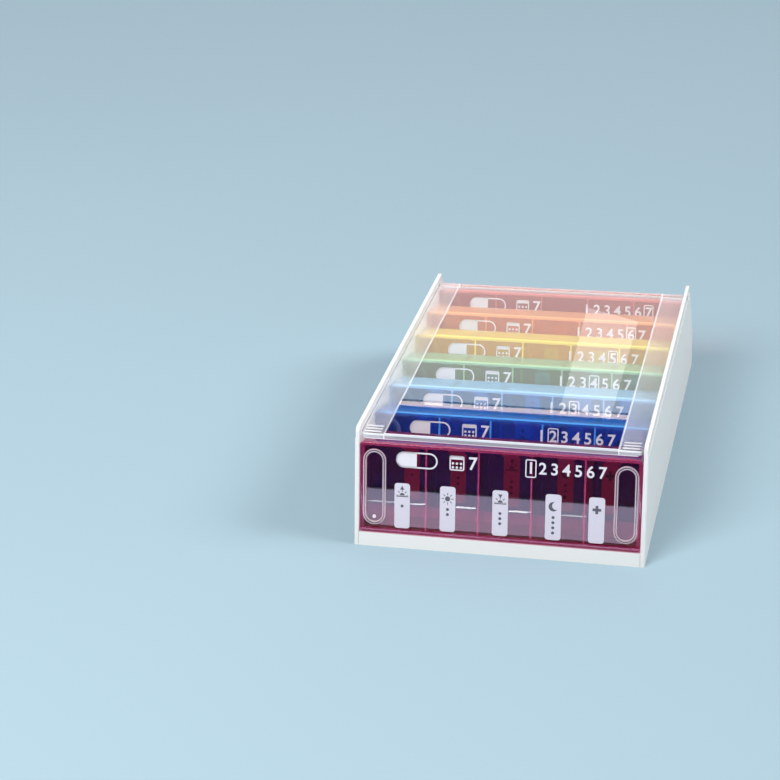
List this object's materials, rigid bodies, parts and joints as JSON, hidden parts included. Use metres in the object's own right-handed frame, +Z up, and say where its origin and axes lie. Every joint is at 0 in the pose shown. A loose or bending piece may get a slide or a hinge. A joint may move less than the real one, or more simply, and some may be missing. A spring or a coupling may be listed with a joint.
{
  "type": "weekly pill box",
  "caption": "Open-fronted tray of leaning, see-through day boxes with compartments and sliding label lids, under a flat clear hinged lid.",
  "frame": {"origin": "centre of the tray's underside", "axes": "+X to the viewer's right, +Y from the open front to the rear, +Z up"},
  "size_m": [0.117, 0.185, 0.0472],
  "materials": {
    "white_plastic": "satin moulded",
    "clear_plastic": "polished, frosted margins",
    "label_film": "matte film",
    "plum_plastic": "polished, see-through tint",
    "blue_plastic": "polished, see-through tint",
    "sky_plastic": "polished, see-through tint",
    "green_plastic": "polished, see-through tint",
    "yellow_plastic": "polished, see-through tint",
    "orange_plastic": "polished, see-through tint",
    "red_plastic": "polished, see-through tint"
  },
  "bodies": {
    "tray": {"tray": "white_plastic"},
    "lid": {"lid": "clear_plastic"},
    "box_1": {"day_box_1": "plum_plastic", "day_lid_1": "plum_plastic", "labels_1": "label_film"},
    "box_2": {"day_box_2": "blue_plastic", "day_lid_2": "blue_plastic", "labels_2": "label_film"},
    "box_3": {"day_box_3": "sky_plastic", "day_lid_3": "sky_plastic", "labels_3": "label_film"},
    "box_4": {"day_box_4": "green_plastic", "day_lid_4": "green_plastic", "labels_4": "label_film"},
    "box_5": {"day_box_5": "yellow_plastic", "day_lid_5": "yellow_plastic", "labels_5": "label_film"},
    "box_6": {"day_box_6": "orange_plastic", "day_lid_6": "orange_plastic", "labels_6": "label_film"},
    "box_7": {"day_box_7": "red_plastic", "day_lid_7": "red_plastic", "labels_7": "label_film"}
  },
  "joints": [
    {"name": "lid_hinge", "type": "hinge", "parent": "tray", "child": "lid", "pos_m": [0, 0.069, 0.04399], "axis": [-1, 0, 0], "range_deg": [0, 105]},
    {"name": "box_1_slide", "type": "slide", "parent": "tray", "child": "box_1", "axis": [0, -0.9703, 0.2419], "range_m": [0, 0.06]},
    {"name": "box_2_tilt", "type": "hinge", "parent": "tray", "child": "box_2", "pos_m": [0, -0.06608, 0.00569], "axis": [1, 0, 0], "range_deg": [0, 8]},
    {"name": "box_3_tilt", "type": "hinge", "parent": "tray", "child": "box_3", "pos_m": [0, -0.04107, 0.00569], "axis": [1, 0, 0], "range_deg": [0, 8]},
    {"name": "box_4_tilt", "type": "hinge", "parent": "tray", "child": "box_4", "pos_m": [0, -0.01606, 0.00569], "axis": [1, 0, 0], "range_deg": [0, 8]},
    {"name": "box_5_tilt", "type": "hinge", "parent": "tray", "child": "box_5", "pos_m": [0, 0.00894, 0.00569], "axis": [1, 0, 0], "range_deg": [0, 8]},
    {"name": "box_6_tilt", "type": "hinge", "parent": "tray", "child": "box_6", "pos_m": [0, 0.03395, 0.00569], "axis": [1, 0, 0], "range_deg": [0, 8]},
    {"name": "box_7_tilt", "type": "hinge", "parent": "tray", "child": "box_7", "pos_m": [0, 0.05895, 0.00569], "axis": [1, 0, 0], "range_deg": [0, 8]}
  ]
}
